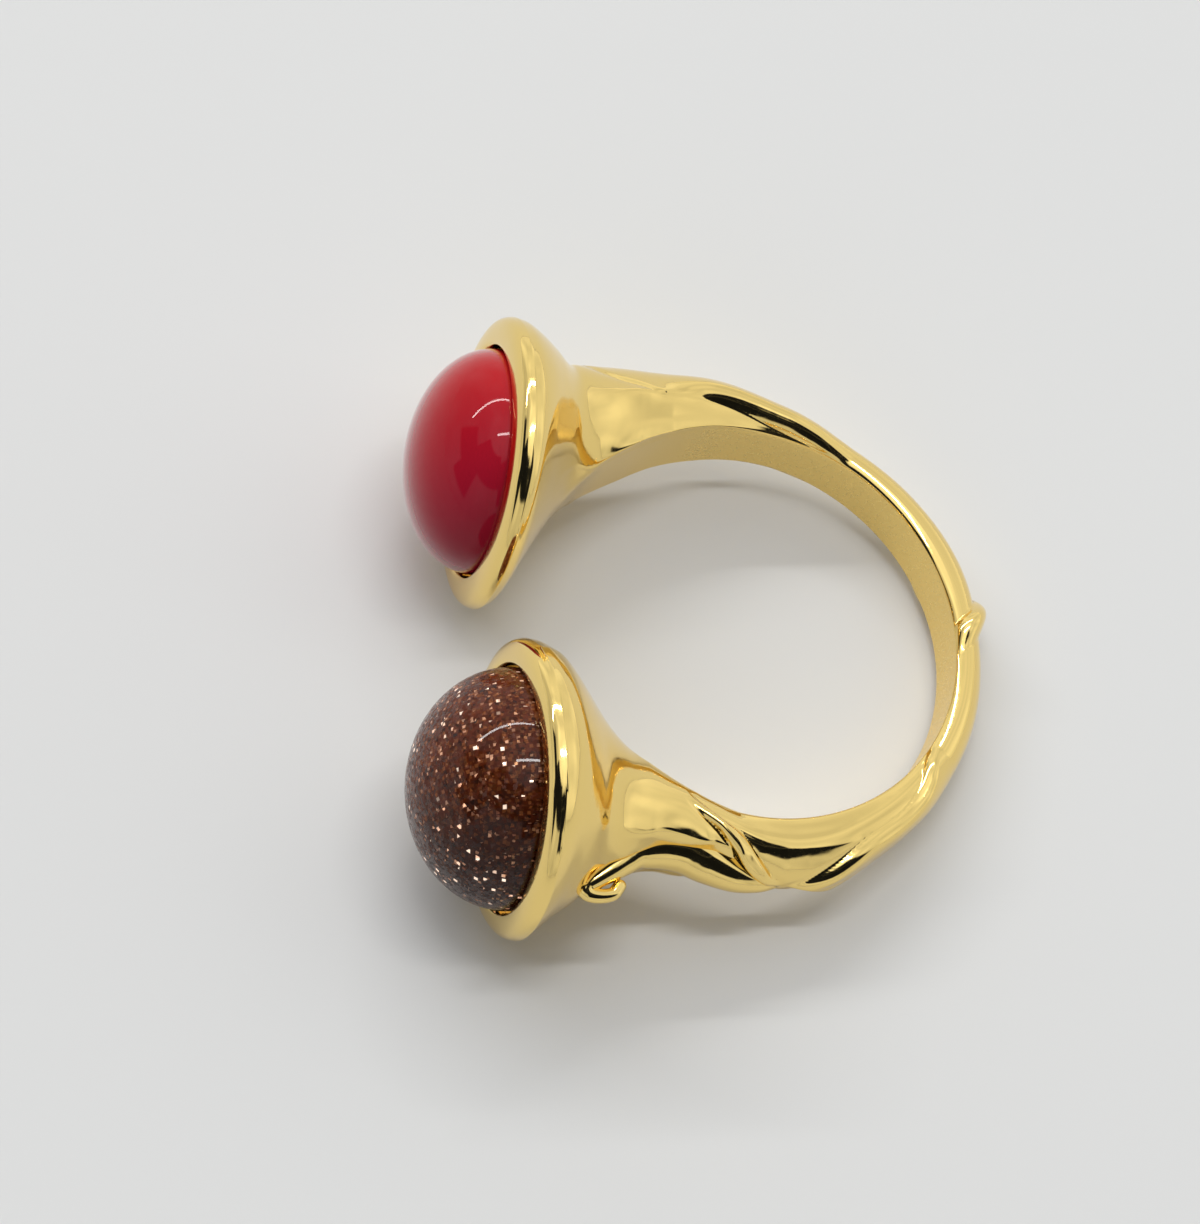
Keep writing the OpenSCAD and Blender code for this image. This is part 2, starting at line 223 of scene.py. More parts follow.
def section_angles(full):
    """Section angle of every point round the band: the first ones go over the outside from one
    edge of the finger surface to the other, closer together toward those edges, and the rest
    lie along the finger surface."""
    edge = np.where(full < CUT_ENDS, np.degrees(np.arccos(-np.minimum(full, 1))),
                    CUT_EDGE - EDGE_SHIFT * (full - CUT_ENDS) / (1 - CUT_ENDS))[:, None]
    j = np.arange(AROUND)[None]
    over = np.clip(j / OUTSIDE, 0, 1)
    over = (1 - CROWDING) * over + CROWDING * (1 - np.cos(np.pi * over)) / 2
    along = (j - OUTSIDE) / (AROUND - OUTSIDE)
    return np.where(j <= OUTSIDE, edge * (1 - 2 * over), -edge - (360 - 2 * edge) * along)


# Points along a line on the arm, and the radius round the finger hole at which the lines lie.
LINE_POINTS, LINE_R = 400, HOLE_R + 2


def line_on_arm(table, turn, angle, scale):
    """Distance of every point from a line on the arm, measured across the line over the surface
    in millimetres, positive toward the outside, and the line's share. The line's section angle
    and share are a smooth curve through the table's rows."""
    line = smooth_rows(table, np.linspace(0, len(table) - 1, LINE_POINTS))
    at = np.interp(turn, line[:, 0], line[:, 1])
    share = np.interp(turn, line[:, 0], line[:, 2], left=0, right=0)
    slope = np.interp(turn, line[:, 0], np.gradient(line[:, 1], line[:, 0]))
    across = 1 / np.sqrt(1 + (scale * slope / LINE_R) ** 2)
    return np.radians(at - angle) * scale * across, share


def angle_of(table, turn):
    """Section angle of a line at a turn, straight between the table's rows."""
    return np.interp(turn, table[:, 0], table[:, 1])


def stretch(turn, first, last, over):
    """A share along the arm: it climbs evenly from 0 at the first turn to 1, and falls back to 0
    at the last turn."""
    return np.clip((turn - first) / over, 0, 1) * np.clip((last - turn) / over, 0, 1)


def shoulder(off, width):
    """Round shoulder from 0 at an edge to 1 at a width from it: a quarter of a sine wave."""
    return np.sin(np.pi / 2 * np.clip(off / width, 0, 1))


def dip(off, width):
    """How strongly a line draws the surface in or out: 1 on the line, and it dies away on both
    sides as the exponential of the distance over a width."""
    return np.exp(-np.abs(off) / width)


def wrapped(off, share, side):
    """Height beside the edge of a strand that lies over the next one on its outside: a round
    shoulder that falls back slowly on the one side, a dip on the other."""
    high, wide = SHOULDER_H[side], SHOULDER_W[side]
    over = high * shoulder(off, wide) * dip(np.maximum(off - wide, 0), SHOULDER_FALL)
    over = over - DIP_H[side] * dip(off, DIP_W_ON)
    return share * np.where(off > 0, over, -DIP_H[side] * dip(off, DIP_W_BESIDE))


def hollowed(angle, low, high, scale, share):
    """A hollow between two lines at two section angles, a squared sine across, which turns the
    round of the section there into a flat or slightly sunken facet."""
    width = np.radians(np.maximum(high - low, 1)) * scale
    q = np.clip((angle - low) / np.maximum(high - low, 1), 0, 1)
    deep = np.minimum(HOLLOW_DEPTH * width ** 2 / (2 * np.pi ** 2 * HOLLOW_R), HOLLOW_MOST)
    return -share * deep * np.sin(np.pi * q) ** 2


def levelled(angle, low, high, scale, share, most, steeper=1):
    """Flattens the section between two lines by lifting both sides of the facet with the square
    of the distance from its middle. Outside the facet the lift dies away."""
    width = np.radians(np.maximum(high - low, 1)) * scale
    q = (angle - low) / np.maximum(high - low, 1)
    high_side = np.clip(2 * q - 1, 0, 1) ** 2
    low_side = np.clip(1 - 2 * q, 0, 1) ** 2 * np.exp(np.minimum(q, 0) * width / FACET_FADE)
    lift = np.minimum(FACET_LIFT * width ** 2 / (8 * FACET_R), most)
    return share * lift * (steeper * high_side + low_side)


def upper_arm(turn, angle, scale, edge):
    """Height of the upper arm's strand with the neck's seam, and lift of the facet beside it."""
    off, share = line_on_arm(UPPER_WRAP, turn, angle, scale)
    strands = wrapped(off, share, 1)
    turned_up = TURNED_UP_RISE * stretch(turn, *TURNED_UP) * np.clip(-off, 0, TURNED_UP_W)
    off, share = line_on_arm(NECK_SEAM, turn, angle, scale)
    seam_w = np.where(off > 0, SEAM_W_OUT, SEAM_W_IN)
    strands = strands - SEAM_DEPTH * share * dip(off, seam_w)
    facet = levelled(angle, angle_of(UPPER_WRAP, turn), edge, scale,
                     stretch(turn, *UPPER_FACET), FACET_MOST[1], UPPER_STEEPER)
    return strands, facet + turned_up


def crossed(height, turn, angle, scale):
    """Lays the crossing strand over a height: from its back to its front edge the surface climbs
    with a power of the share of the way, up to a round shoulder at the front. Along both edges
    the surface sinks a little."""
    back, back_share = line_on_arm(CROSS_BACK, turn, angle, scale)
    front, front_share = line_on_arm(CROSS_FRONT, turn, angle, scale)
    between = (back > 0) & (front < 0)
    rise = np.clip(back / np.maximum(back - front, 0.01), 0, 1) ** CROSS_POWER
    ribbon = CROSS_H * rise * shoulder(-front, CROSS_W)
    back_full = np.clip(back_share * CROSS_SOONER, 0, 1)
    front_full = np.clip(front_share * CROSS_SOONER, 0, 1)
    share = np.where(turn < CROSS_START, back_full, np.minimum(back_full, front_full))
    deep, on, beside = CROSS_SUNK_BACK
    sunk = back_share * deep * dip(back, np.where(back > 0, on, beside))
    deep, on, beside = CROSS_SUNK_FRONT
    sunk = sunk + front_share * deep * dip(front, np.where(front < 0, on, beside))
    under = height * np.clip(1 - share * between, 0, 1)
    return under + np.where(between, ribbon * share, 0) - sunk


def lower_arm(turn, angle, scale, edge):
    """Height of the lower arm's strands with their hollows, the two ridges and the crossing
    strand, and lift of the neck's facet."""
    off, share = line_on_arm(LOWER_WRAP, turn, angle, scale)
    strands = wrapped(off, share, -1)
    _, share = line_on_arm(HOLLOW_TOP, turn, angle, scale)
    low, top = angle_of(LOWER_WRAP, turn), angle_of(HOLLOW_TOP, turn)
    strands = strands + hollowed(angle, top, edge, scale, share)
    strands = strands + hollowed(angle, low, top, scale, LOW_HOLLOW * share)
    off, share = line_on_arm(NECK_RIDGE, turn, angle, scale)
    strands = strands + NECK_RIDGE_H * share * dip(off, NECK_RIDGE_W)
    off, share = line_on_arm(LEAF_RIDGE, turn, angle, scale)
    strands = strands + LEAF_RIDGE_H * share * dip(off, LEAF_RIDGE_W)
    facet = levelled(angle, NECK_FACET_LOW, edge, scale,
                     NECK_STRONGER * stretch(turn, *NECK_FACET), FACET_MOST[-1])
    return crossed(strands, turn, angle, scale), facet


def collar_height(turn, angle, edge):
    """Height of the collar: a sine hump along the turn, slanted with the section angle and
    lopsided by a power, which runs out toward the finger surface."""
    off = (turn - COLLAR_TURN + COLLAR_SLANT * angle) / COLLAR_HALF
    hump = np.sin(np.pi * np.clip((off + 1) / 2, 0, 1) ** COLLAR_TOP) ** COLLAR_POWER
    return COLLAR_H * hump * np.clip((edge - np.abs(angle)) / COLLAR_FADE, 0, 1) ** COLLAR_POWER


def relief(turn, angle, scale, edge):
    """Height of the surface over the plain section, in millimetres: the strands on both arms with
    the facets between them, and the slanted collar wrapped round the back."""
    s, v = np.abs(turn), np.abs(angle)
    upper, upper_facet = upper_arm(s, v, scale, edge)
    lower, neck_facet = lower_arm(s, v, scale, edge)
    strands = np.where(turn > 0, upper, lower) * np.clip((edge - v) / STRAND_FADE, 0, 1)
    facets = np.where(turn > 0, upper_facet, neck_facet)
    facets = facets * np.clip((edge + FACET_EDGE_FADE - v) / FACET_EDGE_FADE, 0, 1)
    return strands + collar_height(turn, angle, edge) + facets


# How far the arris between the finger surface and the outside is softened.
ARRIS = 0.04


def polar(turn, distance):
    """Points in the ring's plane at a turn and a distance from the hole's centre."""
    return np.stack([distance * np.cos(np.radians(turn)), distance * np.sin(np.radians(turn))], -1)


def band_surface(place):
    """Rings of the band at fractional row numbers. A section is an ellipse between the inner and
    the outer line, cut flat on the finger side with a softened arris, and raised or lowered
    along its own normal by the relief."""
    r = smooth_rows(ROWS, place)
    inner, outer = polar(r[:, 0], r[:, 1]), polar(r[:, 2], r[:, 3])
    reach = np.hypot(*(outer - inner).T)
    out = ((outer - inner) / reach[:, None])[:, None]
    full = np.minimum(r[:, 5], 1)
    a = (reach / (1 + full))[:, None]
    b = r[:, 4:5]
    flat = -(full[:, None] * a)
    centre = (inner + out[:, 0] * -flat)[:, None]
    v = section_angles(full)
    cv, sv = np.cos(np.radians(v)), np.sin(np.radians(v))
    scale = np.hypot(a * sv, b * cv)
    steep = np.hypot(cv / a, sv / b)
    up = relief(r[:, 2:3], v, scale, v[:, :1])
    n = a * cv + up * cv / a / steep
    n = flat + ARRIS * np.logaddexp(0, (n - flat) / ARRIS)
    points = np.empty(v.shape + (3,))
    points[..., :2] = centre + out * n[..., None]
    points[..., 2] = b * sv + up * sv / b / steep
    return points


def cup_surface(side, back, radius, around):
    """Rings round a cup's own axis: circles of the given radii at the given distances behind the
    lip plane, with their points at the given angles in radians."""
    across, fan, _ = CUPS[side]
    fan = math.radians(fan)
    n, z = radius[:, None] * np.cos(around), radius[:, None] * np.sin(around)
    x = -CUP_REACH + math.cos(fan) * back[:, None] + math.sin(fan) * n
    y = side * (across - math.sin(fan) * back[:, None] + math.cos(fan) * n)
    return np.stack([x, y, z], -1)


def lip_surface(side):
    """The lip as a smooth curve turned round the cup's axis, down into the seat."""
    seat = CUPS[side][2]
    curve = smooth_rows(LIP, np.linspace(LIP_START, len(LIP) - 1, LIP_RINGS))
    around = np.radians(section_angles(np.ones(LIP_RINGS)))
    radius = RIM_R - np.minimum(curve[:, 1], 1) * (RIM_R - seat)
    return cup_surface(side, curve[:, 0], radius, around)


CAP_RINGS = 7


def tube_surface(table, steps, around):
    """A round wire along the smooth curve through a table's points: a circle of the table's
    radius across the curve's direction at every step, its ends drawn in as half balls."""
    line = smooth_rows(table, np.linspace(0, len(table) - 1, steps))
    middle, radius = line[:, :3] * [-1, -1, 1], line[:, 3]
    along = np.gradient(middle, axis=0)
    along /= np.linalg.norm(along, axis=1)[:, None]
    side = np.cross(along, [0, 0, 1])
    side /= np.linalg.norm(side, axis=1)[:, None]
    top = np.cross(side, along)
    turn = np.linspace(0, 2 * np.pi, around, endpoint=False)[None, :, None]
    ring = side[:, None] * np.cos(turn) + top[:, None] * np.sin(turn)
    body = middle[:, None] + ring * radius[:, None, None]
    cap = np.linspace(0, np.pi / 2, CAP_RINGS)[:-1, None, None]
    start = middle[0] + radius[0] * (ring[0] * np.sin(cap) - along[0] * np.cos(cap))
    end = middle[-1] + radius[-1] * (ring[-1] * np.sin(cap[::-1]) + along[-1] * np.cos(cap[::-1]))
    return np.concatenate([start, body, end])


def laid_down(points):
    """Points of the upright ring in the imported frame: tipped about Y and moved so that the hole's
    centre is where the model has it."""
    c, s = math.cos(TILT), math.sin(TILT)
    x, y, z = points[..., 0], points[..., 1], points[..., 2]
    return (np.stack([x * c + z * s, y, z * c - x * s], -1) + HOLE_CENTRE) * MM


def closed_mesh(name, skins):
    """One mesh of several closed skins. A skin is an array of rings of points. Neighbouring rings
    are joined by quads, and a point in the middle of each end ring closes it with triangles."""
    points, quads, fans, start = [], [], [], 0
    for rings in skins:
        n, m = rings.shape[:2]
        grid = start + np.arange(n * m).reshape(n, m)
        beside = np.roll(grid, -1, 1)
        quads.append(np.stack([grid[:-1], beside[:-1], beside[1:], grid[1:]], -1).reshape(-1, 4))
        first, last = start + n * m, start + n * m + 1
        fans.append(np.stack([beside[0], grid[0], np.full(m, first)], -1))
        fans.append(np.stack([grid[-1], beside[-1], np.full(m, last)], -1))
        points += [rings.reshape(-1, 3), rings[0].mean(0)[None], rings[-1].mean(0)[None]]
        start += n * m + 2
    mesh = bpy.data.meshes.new(name)
    quads, fans = np.concatenate(quads), np.concatenate(fans)
    mesh.from_pydata(laid_down(np.concatenate(points)), [], quads.tolist() + fans.tolist())
    mesh.polygons.foreach_set("use_smooth", np.ones(len(mesh.polygons), bool))
    mesh.validate()
    piece = bpy.data.objects.new(name, mesh)
    bpy.context.collection.objects.link(piece)
    return piece


# Turns of the band's rings, close together where a strand or the collar is. Columns: from, to,
# step. The rings of the flares beyond both ends are spaced evenly over their rows.
RING_TURNS = ((-122, -36, 0.36), (-36, -6, 1.0), (-6, 23, 0.32), (23, 60, 1.0), (60, 122, 0.46))
FLARE_RINGS, FINE_POINTS = 26, 6000
SHARP_EDGE = math.radians(50)
last_row = len(ROWS) - 1
turns = np.concatenate([np.arange(*columns) for columns in RING_TURNS])
fine = np.linspace(0, last_row, FINE_POINTS)
places = np.interp(turns, smooth_rows(ROWS, fine)[:, 2], fine)
places = np.concatenate([np.linspace(0, places[0], FLARE_RINGS)[:-1], places,
                         np.linspace(places[-1], last_row, FLARE_RINGS)[1:]])
casting = np.concatenate([lip_surface(-1)[::-1], band_surface(places), lip_surface(1)])
band = closed_mesh("gold_band", [casting, tube_surface(TENDRIL, steps=200, around=20)])
band.data.set_sharp_from_angle(angle=SHARP_EDGE)


def new_material(name):
    """An empty material with its Principled shader and its node tree."""
    material = bpy.data.materials.new(name)
    material.use_nodes = True
    return material, material.node_tree.nodes["Principled BSDF"], material.node_tree


def node(tree, kind, **settings):
    """One node. A setting named after an input sets that input's value, others are properties."""
    made = tree.nodes.new(kind)
    for key, value in settings.items():
        label = key.replace("_", " ").title()
        if label in made.inputs:
            made.inputs[label].default_value = value
        else:
            setattr(made, key, value)
    return made


def link(tree, source, output, target, slot):
    """Joins one node's output to another's input."""
    tree.links.new(source.outputs[output], target.inputs[slot])


# The look of a polished surface, for the plating and both stones: a roughness that varies in
# fine cloudy patches between two values.
polish = bpy.data.node_groups.new("polish", "ShaderNodeTree")
for socket, value in (("Scale", 5000.0), ("Smoothest", 0.05), ("Dullest", 0.12)):
    polish.interface.new_socket(socket, in_out="INPUT", socket_type="NodeSocketFloat")
    polish.interface.items_tree[socket].default_value = value
polish.interface.new_socket("Roughness", in_out="OUTPUT", socket_type="NodeSocketFloat")
inside, outside = node(polish, "NodeGroupInput"), node(polish, "NodeGroupOutput")
place = node(polish, "ShaderNodeTexCoord")
cloud = node(polish, "ShaderNodeTexNoise", detail=3.0)
spread = node(polish, "ShaderNodeMapRange", from_min=0.35, from_max=0.65)
link(polish, place, "Object", cloud, "Vector")
link(polish, inside, "Scale", cloud, "Scale")
link(polish, cloud, "Fac", spread, "Value")
link(polish, inside, "Smoothest", spread, "To Min")
link(polish, inside, "Dullest", spread, "To Max")
link(polish, spread, "Result", outside, "Roughness")


def polished(tree, scale, smoothest, dullest):
    """The polish group with its three values."""
    made = tree.nodes.new("ShaderNodeGroup")
    made.node_tree = polish
    for socket, value in (("Scale", scale), ("Smoothest", smoothest), ("Dullest", dullest)):
        made.inputs[socket].default_value = value
    return made


# The finger surface is satin, and only as far as the necks, so it is marked on the mesh: the
# turn at which the satin ends, and the turn over which it fades.
SATIN_END, SATIN_FADE = 112, 24
satin = np.zeros(len(band.data.vertices))
on_rings = satin[:len(casting) * AROUND].reshape(len(casting), AROUND)
along_arm = np.abs(smooth_rows(ROWS, places)[:, 2:3])
on_rings[LIP_RINGS:-LIP_RINGS, OUTSIDE + 1:] = np.clip((SATIN_END - along_arm) / SATIN_FADE, 0, 1)
band.data.attributes.new("finger_side", "FLOAT", "POINT").data.foreach_set("value", satin)

# Plating colour, the slow waves of the casting under the polish, the grit of the satin surface
# and its height beside theirs, and how much both bend the light.
GOLD = (0.93, 0.69, 0.24, 1)
WAVE_SCALE, GRIT_SCALE, GRIT_HEIGHT = 420.0, 3200.0, 0.16
BUMP_STRENGTH, BUMP_DEPTH = 0.2, 0.0001
gold, shader, tree = new_material("bright_gold_plating")
shader.inputs["Metallic"].default_value = 1
shader.inputs["Base Color"].default_value = GOLD
bright = polished(tree, scale=5200.0, smoothest=0.05, dullest=0.11)
dull = polished(tree, scale=9000.0, smoothest=0.26, dullest=0.40)
finger_side = node(tree, "ShaderNodeAttribute", attribute_name="finger_side")
finish = node(tree, "ShaderNodeMix")
link(tree, finger_side, "Fac", finish, "Factor")
link(tree, bright, "Roughness", finish, "A")
link(tree, dull, "Roughness", finish, "B")
link(tree, finish, "Result", shader, "Roughness")
place = node(tree, "ShaderNodeTexCoord")
waves = node(tree, "ShaderNodeTexNoise", scale=WAVE_SCALE, detail=2.0)
grit = node(tree, "ShaderNodeTexNoise", scale=GRIT_SCALE, detail=3.0)
rough = node(tree, "ShaderNodeMath", operation="MULTIPLY")
height = node(tree, "ShaderNodeMath", operation="MULTIPLY_ADD")
height.inputs[1].default_value = GRIT_HEIGHT
bump = node(tree, "ShaderNodeBump", strength=BUMP_STRENGTH, distance=BUMP_DEPTH)
link(tree, place, "Object", waves, "Vector")
link(tree, place, "Object", grit, "Vector")
link(tree, grit, "Fac", rough, 0)
link(tree, finger_side, "Fac", rough, 1)
link(tree, rough, 0, height, 0)
link(tree, waves, "Fac", height, 2)
link(tree, height, 0, bump, "Height")
link(tree, bump, "Normal", shader, "Normal")
band.data.materials.append(gold)
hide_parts("band")
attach(band, "root")

# ---------------------------------------------------------------- Red stone
# A high-polished red glass cabochon, with painted shade and a painted purple reflection toward its
# low end. It sits in the upper cup's seat on a thin bed of cement.
RED_DOME = 3.0
# Gaps of both stones to the wall and to the floor of their seats, and the size of the rounded
# step at their foot.
STONE_GAP, FLOOR_GAP, FOOT_STEP = 0.12, 0.05, 0.08
# Points round a stone, rings up its dome and rings round its foot.
STONE_AROUND, DOME_RINGS, FOOT_RINGS = 180, 90, 6


def cabochon(name, side, dome):
    """A dome over a short straight edge: half an ellipse turned round the cup's axis, with a
    small rounded step down to a flat foot. Its rings run from the foot to the top."""
    girdle, foot = CUPS[side][2] - STONE_GAP, SEAT_DEPTH - FLOOR_GAP
    t = np.linspace(0, np.pi / 2, DOME_RINGS)[:-1]
    step = np.linspace(0, np.pi / 2, FOOT_RINGS)
    radius = np.concatenate([girdle - FOOT_STEP * (1 - np.sin(step)), girdle * np.cos(t)])
    front = np.concatenate([-foot + FOOT_STEP * (1 - np.cos(step)), dome * np.sin(t)])
    around = np.linspace(0, 2 * np.pi, STONE_AROUND, endpoint=False)[None]
    points = cup_surface(side, -front, radius, around)
    if side > 0:
        points = points[:, ::-1]
    return closed_mesh(name, [points])


def edge_gloss(tree, shader, least, most):
    """Coat that is weak where the surface faces the viewer and strong at its edge."""
    facing = node(tree, "ShaderNodeLayerWeight", blend=0.5)
    rise = node(tree, "ShaderNodeMapRange", interpolation_type="SMOOTHSTEP",
                from_min=0.35, from_max=0.95, to_min=least, to_max=most)
    link(tree, facing, "Facing", rise, "Value")
    link(tree, rise, "Result", shader, "Coat Weight")
    shader.inputs["Coat Roughness"].default_value = 0.02


def mixed(tree, kind, factor, a, b):
    """A colour mix of two colours or outputs."""
    made = node(tree, "ShaderNodeMix", data_type="RGBA", blend_type=kind)
    for slot, value in (("Factor", factor), ("A", a), ("B", b)):
        if isinstance(value, bpy.types.NodeSocket):
            tree.links.new(value, made.inputs[slot])
        else:
            made.inputs[slot].default_value = value
    return made.outputs["Result"]


def climb_along_y(tree, place, low, high, least, most):
    """A value that climbs smoothly from a least to a most between two places on Y, in metres."""
    parts = node(tree, "ShaderNodeSeparateXYZ")
    climb = node(tree, "ShaderNodeMapRange", interpolation_type="SMOOTHSTEP",
                 from_min=low, from_max=high, to_min=least, to_max=most)
    link(tree, place, "Object", parts, "Vector")
    link(tree, parts, "Y", climb, "Value")
    return climb.outputs["Result"]


# Red darkened toward purple by painted shade and painted reflection at the low end, plain red at
# the high end, and where on Y in metres the one turns into the other.
# Then the faint clouds in the glass: their scale, how dark they are and how much they count.
RED_PAINTED_SHADE, RED_HIGH = (0.31, 0.008, 0.030, 1), (0.49, 0.009, 0.012, 1)
RED_PAINTED_SHADE_Y, RED_HIGH_Y = 0.0010, 0.0110
RED_CLOUD_SCALE, RED_CLOUD_DARK, RED_CLOUD_SHARE = 160.0, 0.75, 0.5
red_stone = cabochon("red_cabochon", 1, RED_DOME)
red, shader, tree = new_material("polished_red_glass")
shader.inputs["Specular IOR Level"].default_value = 0.16
place = node(tree, "ShaderNodeTexCoord")
cloud = node(tree, "ShaderNodeTexNoise", scale=RED_CLOUD_SCALE, detail=3.0)
shade = node(tree, "ShaderNodeMapRange", from_min=0.3, from_max=0.7,
             to_min=RED_CLOUD_DARK, to_max=1.0)
link(tree, place, "Object", cloud, "Vector")
link(tree, cloud, "Fac", shade, "Value")
# Painted shade and painted reflection: the colour turns darker and purple toward the low end along
# Y.
high_end = climb_along_y(tree, place, RED_PAINTED_SHADE_Y, RED_HIGH_Y, 0.0, 1.0)
depth = mixed(tree, "MIX", high_end, RED_PAINTED_SHADE, RED_HIGH)
veil = mixed(tree, "MULTIPLY", RED_CLOUD_SHARE, depth, shade.outputs["Result"])
tree.links.new(veil, shader.inputs["Base Color"])
link(tree, polished(tree, scale=3000.0, smoothest=0.03, dullest=0.06), "Roughness",
     shader, "Roughness")
edge_gloss(tree, shader, least=0.05, most=0.9)
red_stone.data.materials.append(red)
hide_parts("red_stone")
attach(red_stone, "root")

# ---------------------------------------------------------------- Goldstone
# Dark red-brown glass full of small bright copper flakes, cut and polished to a high dome.
# It sits in the lower cup's seat.
GOLDSTONE_DOME = 3.9
# The two tones of the glass, and the darkest and lightest of the dim flakes deep in it.
GLASS_DARK, GLASS_LIGHT = (0.045, 0.006, 0.0015, 1), (0.15, 0.028, 0.007, 1)
DEEP_DARK, DEEP_LIGHT = (0.03, 0.004, 0.001, 1), (0.27, 0.078, 0.022, 1)
# Painted shade on the low end: how dark it is there, and where on Y in metres it ends.
PAINTED_SHADE_LEVEL, PAINTED_SHADE_Y, PAINTED_SHADE_STOPS_Y = 0.38, -0.0112, -0.0062
# The grains near the surface, how metallic they are and how far they lean.
GRAIN_DARK, GRAIN_LIGHT = (0.22, 0.06, 0.03, 1), (0.95, 0.50, 0.30, 1)
GRAIN_METAL, GRAIN_LEAN = 0.35, 0.65
# The glints: their own colour, and the colours and strength of the emission painted on them as
# painted glints, which shine without any lamp.
GLINT = (0.98, 0.72, 0.52, 1)
PAINTED_GLINT_DARK, PAINTED_GLINT_LIGHT, PAINTED_GLINT_STRENGTH = (0.75, 0.30, 0.16, 1), (1.0, 0.86, 0.72, 1), 0.8
goldstone = cabochon("goldstone_cabochon", -1, GOLDSTONE_DOME)
glass, shader, tree = new_material("goldstone_glass")
shader.inputs["Emission Strength"].default_value = PAINTED_GLINT_STRENGTH
shader.inputs["Specular IOR Level"].default_value = 0.05
place = node(tree, "ShaderNodeTexCoord")


def flakes(scale, lit, size, soft):
    """Flakes of one size: a mask that is 1 on the chosen share of cells, within a distance of
    each cell's middle, a random number for each cell, and the cells."""
    cells = node(tree, "ShaderNodeTexVoronoi", distance="CHEBYCHEV", scale=scale)
    chance = node(tree, "ShaderNodeSeparateColor")
    chosen = node(tree, "ShaderNodeMapRange", from_min=1 - lit, from_max=1 - lit * 0.6)
    disc = node(tree, "ShaderNodeMapRange", from_min=size, from_max=size * soft,
                to_min=0.0, to_max=1.0)
    both = node(tree, "ShaderNodeMath", operation="MULTIPLY")
    link(tree, place, "Object", cells, "Vector")
    link(tree, cells, "Color", chance, "Color")
    link(tree, chance, "Red", chosen, "Value")
    link(tree, cells, "Distance", disc, "Value")
    link(tree, chosen, "Result", both, 0)
    link(tree, disc, "Result", both, 1)
    return both.outputs[0], chance.outputs["Green"], cells


deep_mask, deep_chance, _ = flakes(scale=6200.0, lit=0.75, size=0.52, soft=0.75)
grains, grain_chance, grain_cells = flakes(scale=6800.0, lit=0.12, size=0.50, soft=0.6)
glints, glint_chance, _ = flakes(scale=3000.0, lit=0.24, size=0.24, soft=0.7)
tone = node(tree, "ShaderNodeTexNoise", scale=900.0, detail=2.0)
link(tree, place, "Object", tone, "Vector")
body = mixed(tree, "MIX", tone.outputs["Fac"], GLASS_DARK, GLASS_LIGHT)
dim = mixed(tree, "MIX", deep_chance, DEEP_DARK, DEEP_LIGHT)
body = mixed(tree, "MIX", deep_mask, body, dim)
# Painted shade: the glass darkens toward its low end along Y before the flakes are laid over it, so
# they stay bright.
painted_shade = climb_along_y(tree, place, PAINTED_SHADE_Y, PAINTED_SHADE_STOPS_Y, PAINTED_SHADE_LEVEL, 1.0)
body = mixed(tree, "MULTIPLY", 1.0, body, painted_shade)
speck = mixed(tree, "MIX", grain_chance, GRAIN_DARK, GRAIN_LIGHT)
colour = mixed(tree, "MIX", grains, body, speck)
colour = mixed(tree, "MIX", glints, colour, GLINT)
tree.links.new(colour, shader.inputs["Base Color"])
grain_metal = node(tree, "ShaderNodeMath", operation="MULTIPLY")
grain_metal.inputs[1].default_value = GRAIN_METAL
metal = node(tree, "ShaderNodeMath", operation="MAXIMUM")
tree.links.new(grains, grain_metal.inputs[0])
link(tree, grain_metal, 0, metal, 0)
tree.links.new(glints, metal.inputs[1])
link(tree, metal, 0, shader, "Metallic")
# Painted glints: the glint flakes emit their own light, so they sparkle without any lamp.
painted_glint = mixed(tree, "MIX", glint_chance, PAINTED_GLINT_DARK, PAINTED_GLINT_LIGHT)
tree.links.new(mixed(tree, "MIX", glints, (0, 0, 0, 1), painted_glint), shader.inputs["Emission Color"])
# Each cell's normal leans its own way: the cell's random colour, from minus to plus the lean,
# is added to the surface's normal.
surface = node(tree, "ShaderNodeNewGeometry")
swing = node(tree, "ShaderNodeVectorMath", operation="MULTIPLY_ADD")
swing.inputs[1].default_value = (2 * GRAIN_LEAN,) * 3
lean = node(tree, "ShaderNodeVectorMath", operation="SUBTRACT")
lean.inputs[1].default_value = (GRAIN_LEAN,) * 3
facing = node(tree, "ShaderNodeVectorMath", operation="NORMALIZE")
link(tree, grain_cells, "Color", swing, 0)
link(tree, surface, "Normal", swing, 2)
link(tree, swing, 0, lean, 0)
link(tree, lean, 0, facing, 0)
link(tree, facing, 0, shader, "Normal")
link(tree, polished(tree, scale=3000.0, smoothest=0.22, dullest=0.30), "Roughness",
     shader, "Roughness")
edge_gloss(tree, shader, least=0.36, most=0.5)
goldstone.data.materials.append(glass)
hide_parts("goldstone")
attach(goldstone, "root")

# ---------------------------------------------------------------- Floor, light and camera
# A plain off-white sheet under the ring, soft light all round, two tube lamps and the camera
# at the photograph's angle.
FLOOR_HALF = 2.0
PAPER, PAPER_ROUGHNESS = (0.69, 0.69, 0.68, 1), 0.7
floor_mesh = bpy.data.meshes.new("floor")
floor_mesh.from_pydata([(x * FLOOR_HALF, y * FLOOR_HALF, 0) for x, y in
                        ((-1, -1), (1, -1), (1, 1), (-1, 1))], [], [(0, 1, 2, 3)])
floor = bpy.data.objects.new("floor", floor_mesh)
bpy.context.collection.objects.link(floor)
paper, shader, tree = new_material("floor_paper")
shader.inputs["Base Color"].default_value = PAPER
shader.inputs["Roughness"].default_value = PAPER_ROUGHNESS
floor_mesh.materials.append(paper)

# The two lamps. Columns: name, place of the middle, length, width, power. Metres and watts.
LAMPS = (("long_tube", (-0.20, 0.50, 0.61), 0.96, 0.028, 2.6),
         ("short_tube", (0.065, 0.025, 0.60), 0.33, 0.024, 0.85))


